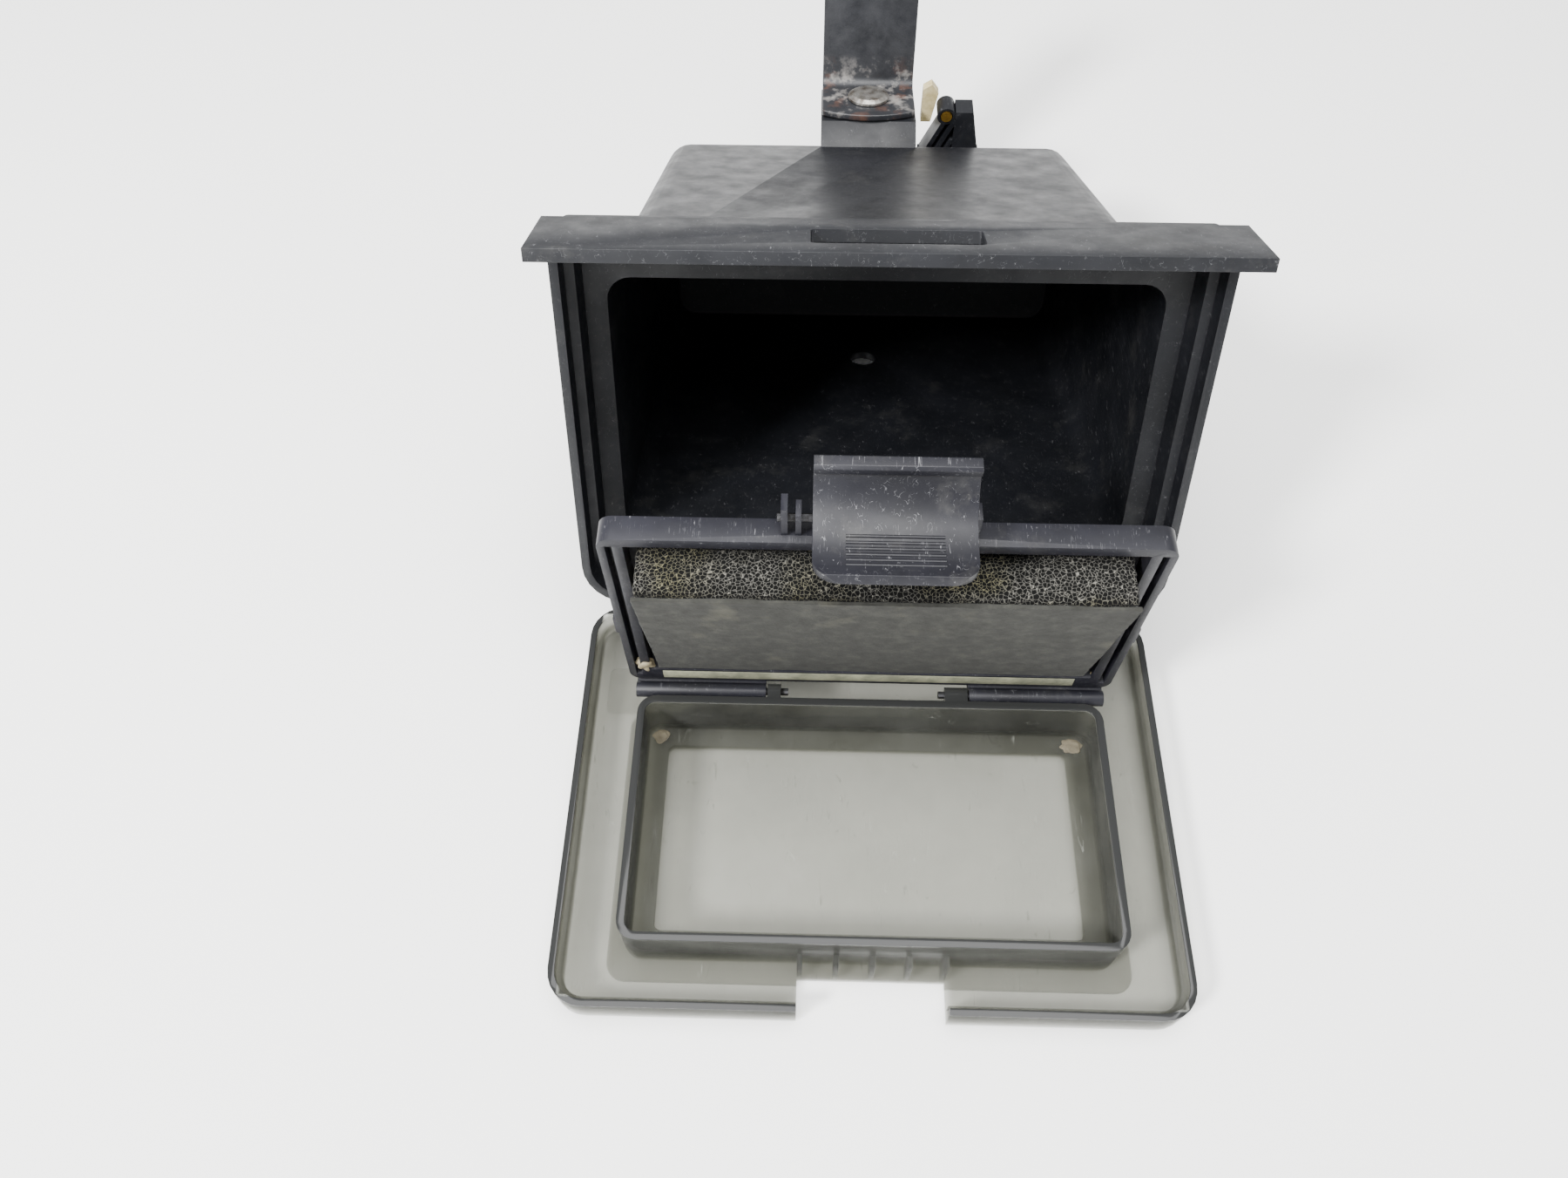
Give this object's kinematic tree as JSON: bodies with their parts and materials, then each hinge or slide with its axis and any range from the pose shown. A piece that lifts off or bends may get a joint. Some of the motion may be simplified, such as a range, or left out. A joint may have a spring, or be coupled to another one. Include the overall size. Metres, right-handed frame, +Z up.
{
  "type": "garage door remote storage box",
  "caption": "Overhead storage box for a garage-door remote: tapered tub with a slotted flange, foam carrier with a latch, and a clear tray door.",
  "frame": {"origin": "centre of the tray on the door's flat outer face, which rests on the ground", "axes": "+Z up from the ground, +Y from the door's notched edge towards the tub's closed end, +X to the right when looking into the tub"},
  "size_m": [0.1594, 0.313, 0.137],
  "materials": {
    "black_moulding": "black moulded plastic, satin, dusty and scuffed",
    "latch_moulding": "black moulded plastic, rubbed and scratched by fingers",
    "black_steel": "black painted steel strip, worn and rusty at the bend",
    "bare_steel": "bare steel, dull",
    "tarnished_brass": "dull, tarnished",
    "cream_plastic": "cream moulded plastic",
    "dried_glue": "dried yellow contact glue",
    "open_cell_foam": "coarse open-cell foam",
    "foam_facing": "fine felted foam skin",
    "smoked_clear": "smoked clear moulded plastic"
  },
  "bodies": {
    "housing": {"housing_tub": "black_moulding", "mounting_flange": "black_moulding", "hanger_strap": "black_steel", "strap_rivet": "bare_steel", "rear_bracket": "black_moulding", "bracket_pin": "tarnished_brass", "bracket_bush": "cream_plastic"},
    "carrier": {"carrier_frame": "black_moulding", "foam_adhesive": "dried_glue", "foam_block": "open_cell_foam", "foam_facing": "foam_facing", "latch_pin": "bare_steel", "latch_spring": "bare_steel", "hinge_pin_left": "bare_steel", "hinge_pin_right": "bare_steel"},
    "latch": {"latch_lever": "latch_moulding"},
    "door": {"door_shell": "smoked_clear"}
  },
  "joints": [
    {"name": "module_swing", "type": "hinge", "parent": "housing", "child": "carrier", "pos_m": [0, 0.10605, 0.01451], "axis": [-1, 0, 0], "range_deg": [0, 24.8]},
    {"name": "door_hinge", "type": "hinge", "parent": "carrier", "child": "door", "pos_m": [0, 0.0357, 0.0193], "axis": [-1, 0, 0], "range_deg": [0, 88]},
    {"name": "latch_pivot", "type": "hinge", "parent": "carrier", "child": "latch", "pos_m": [0, 0.03989, 0.0952], "axis": [1, 0, 0], "range_deg": [0, 10], "stiffness_Nm_per_rad": 0.05, "springref_deg": -5.73}
  ]
}
